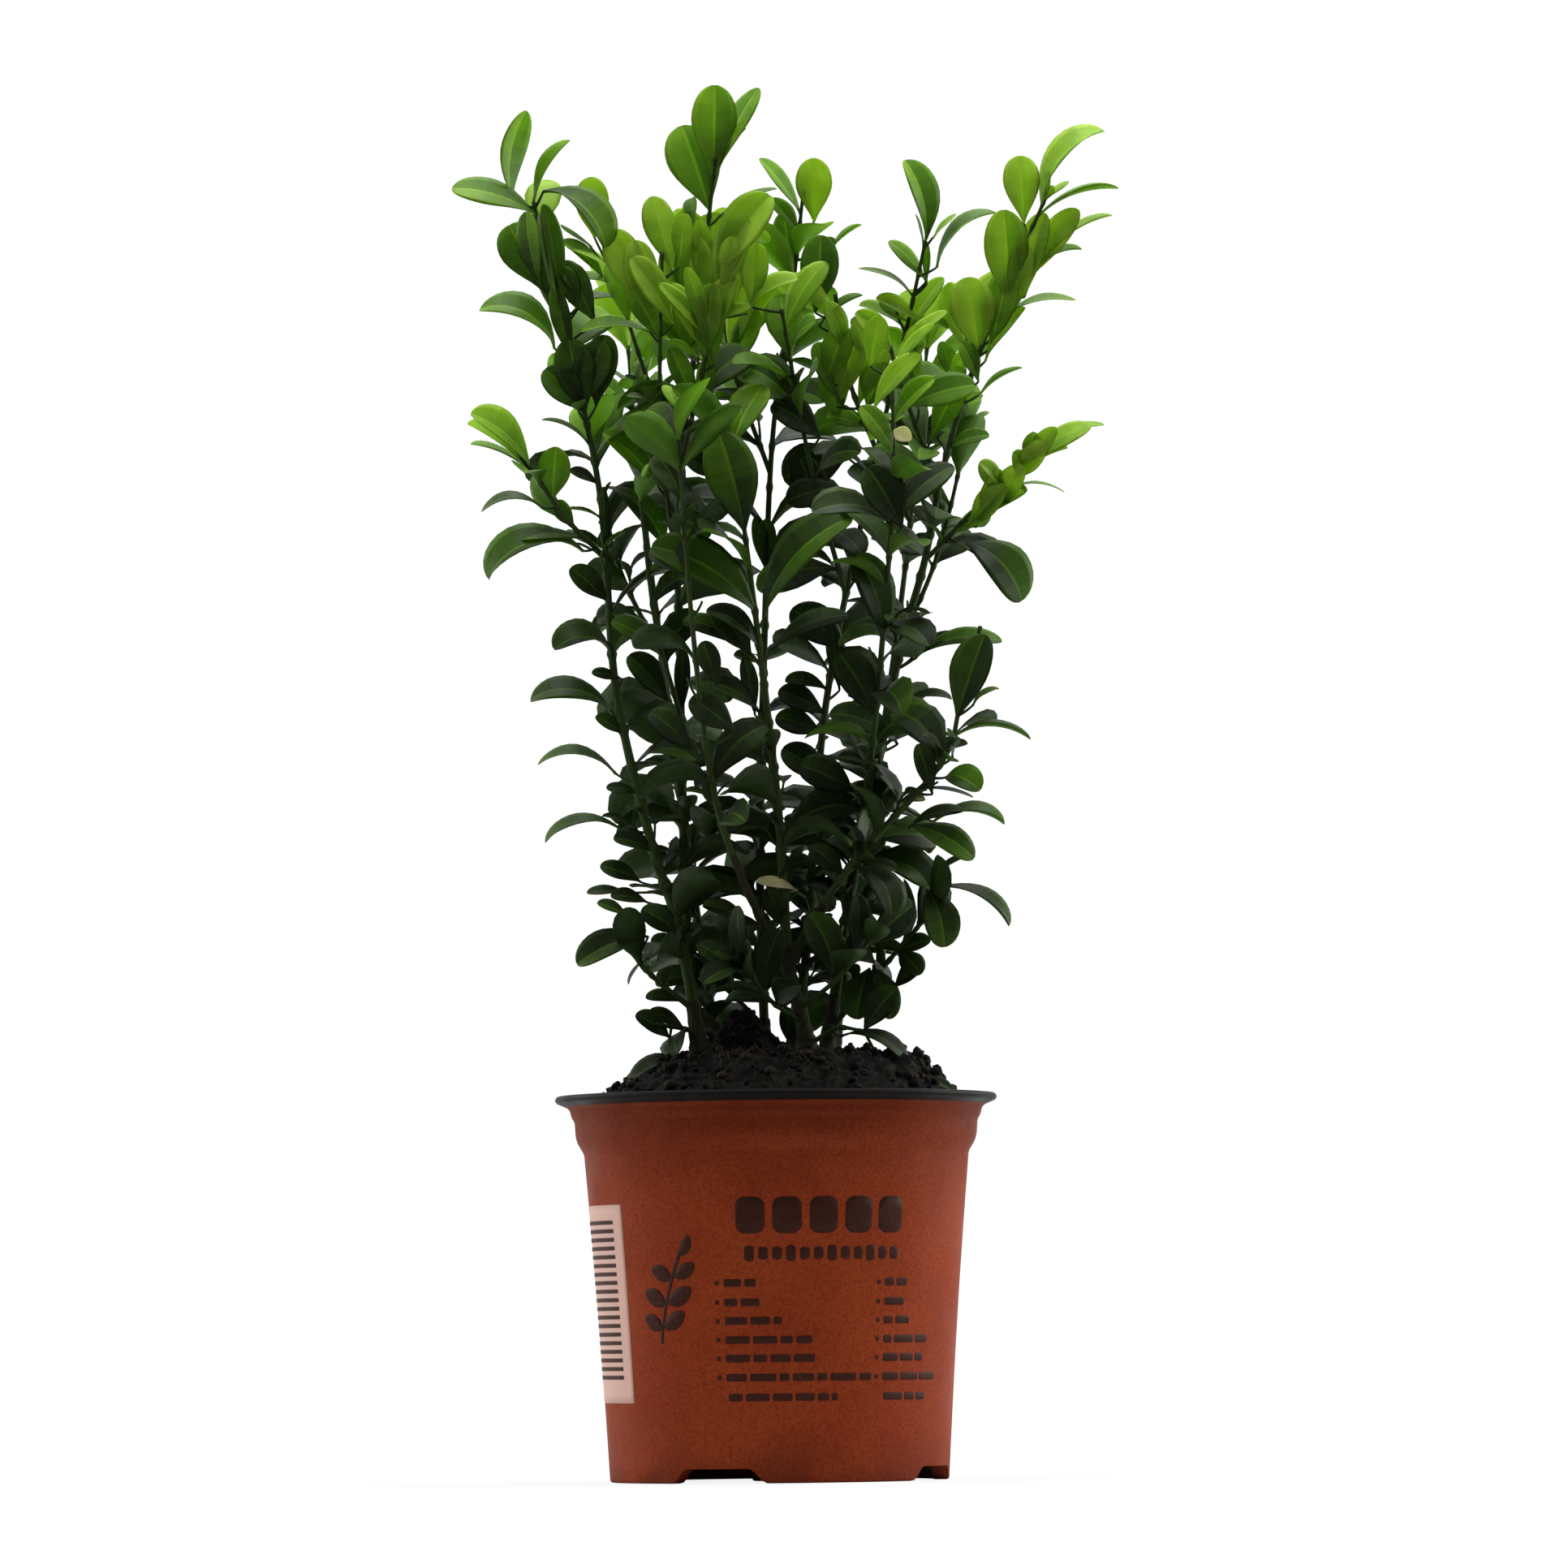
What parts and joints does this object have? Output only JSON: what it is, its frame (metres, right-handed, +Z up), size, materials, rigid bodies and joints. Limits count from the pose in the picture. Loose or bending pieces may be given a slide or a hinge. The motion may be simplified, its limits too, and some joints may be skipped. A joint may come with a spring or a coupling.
{
  "type": "potted boxwood shrub",
  "caption": "Young upright boxwood shrub: leafy stems rising from a mound of dark soil in a tapered round nursery pot with a collar, a flanged rim and notches in its foot.",
  "frame": {"origin": "middle of the pot's flat underside, at the mount pot_base", "axes": "+Z up, -Y the front of the plant, +X to the right seen from the front"},
  "size_m": [0.1891, 0.1453, 0.4125],
  "materials": {
    "pot": "matte, finely speckled orange-brown",
    "soil": "rough, crumbly black peat",
    "bark": "matte, green-brown young bark",
    "leaf": "satin, dark green below to yellow-green at the tips"
  },
  "bodies": {
    "root": {"pot": "pot", "soil": "soil", "stem_left": "bark", "stem_mid_left": "bark", "stem_centre": "bark", "stem_right": "bark", "stem_back": "bark", "stem_back_mid": "bark", "stem_back_left": "bark", "stem_back_right": "bark", "bough_front_left": "bark", "bough_low_right": "bark", "bough_front_right": "bark", "shoot_left": "leaf", "shoot_mid_left": "leaf", "shoot_centre": "leaf", "shoot_front_left": "leaf", "shoot_low_right": "leaf", "shoot_right": "leaf", "shoot_back": "leaf", "shoot_back_mid": "leaf", "shoot_back_left": "leaf", "shoot_back_right": "leaf", "shoot_front_right": "leaf", "sprig_low_left": "leaf", "sprig_foot_left": "leaf", "sprig_foot_front": "leaf", "sprig_low_back": "leaf", "sprig_low_front": "leaf", "sprig_low_middle": "leaf", "sprig_foot_right": "leaf"}
  },
  "joints": []
}
